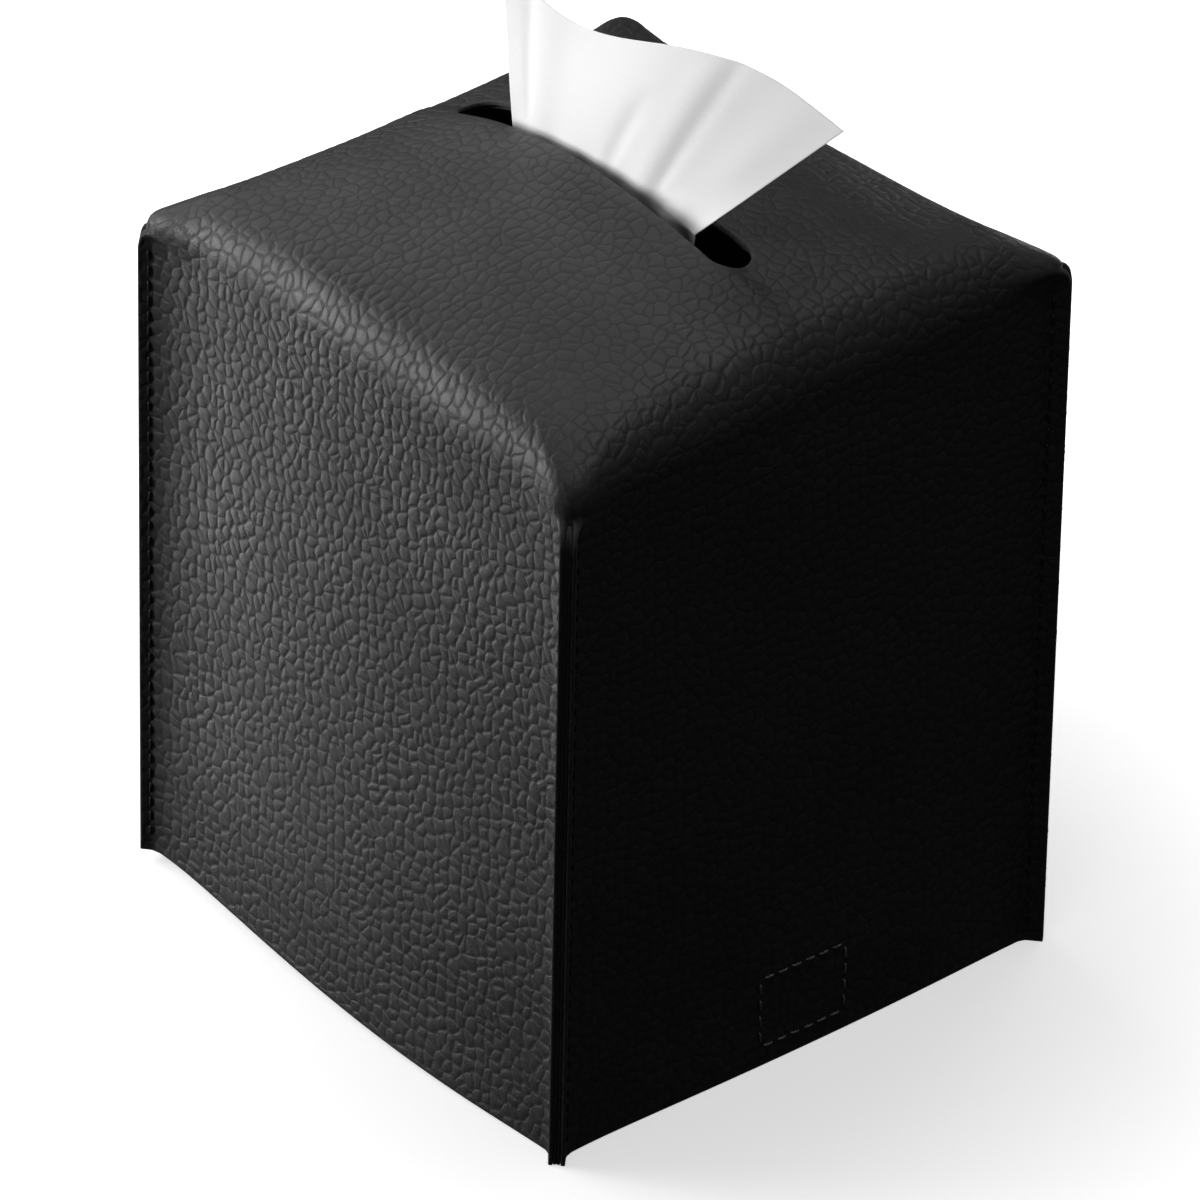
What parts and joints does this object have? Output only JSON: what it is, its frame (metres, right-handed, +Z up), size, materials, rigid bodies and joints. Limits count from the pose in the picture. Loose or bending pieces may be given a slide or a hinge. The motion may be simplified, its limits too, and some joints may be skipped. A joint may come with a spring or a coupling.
{
  "type": "tissue box cover",
  "caption": "Square soft leather cover for an upright tissue carton: domed top with a round-ended slot, sewn corner fins, a folding belt under the carton and a tissue standing in the slot.",
  "frame": {"origin": "on the resting plane, under the middle of the cover", "axes": "+Z up through the top; +X along the slot, towards the wall that carries the lower strap; -Y is the front wall"},
  "size_m": [0.1262, 0.1262, 0.195],
  "materials": {
    "leather": "pebbled, satin",
    "lining": "brushed, matte",
    "seam_thread": "twisted, satin",
    "belt_thread": "twisted, satin",
    "strap": "woven, matte",
    "hook_tape": "hooked, satin",
    "loop_tape": "brushed loops, matte",
    "tissue": "soft, matte"
  },
  "bodies": {
    "cover": {"leather_shell": "leather", "lining": "lining", "corner_stitches_front_left": "seam_thread", "corner_stitches_front_right": "seam_thread", "corner_stitches_back_left": "seam_thread", "corner_stitches_back_right": "seam_thread", "hook_strap_anchor": "strap", "belt_stitches_right": "belt_thread", "loop_strap_anchor": "strap", "belt_stitches_left": "belt_thread"},
    "lower_strap": {"hook_strap": "strap", "hook_patch": "hook_tape", "hook_patch_stitches": "belt_thread"},
    "upper_strap": {"loop_strap": "strap", "loop_patch": "loop_tape", "loop_patch_stitches": "belt_thread"},
    "tissue": {"tissue_sheet": "tissue"}
  },
  "joints": [
    {"name": "lower_strap_fold", "type": "hinge", "parent": "cover", "child": "lower_strap", "pos_m": [0.0575, 0, 0.0014], "axis": [0, -1, 0], "range_deg": [0, 90]},
    {"name": "upper_strap_fold", "type": "hinge", "parent": "cover", "child": "upper_strap", "pos_m": [-0.0575, 0, 0.0053], "axis": [0, 1, 0], "range_deg": [0, 90]},
    {"name": "tissue_pull", "type": "slide", "parent": "cover", "child": "tissue", "axis": [0, 0, 1], "range_m": [0, 0.06]}
  ],
  "couplings": [
    {"joint": "upper_strap_fold", "follows": "lower_strap_fold", "ratio": 1}
  ]
}
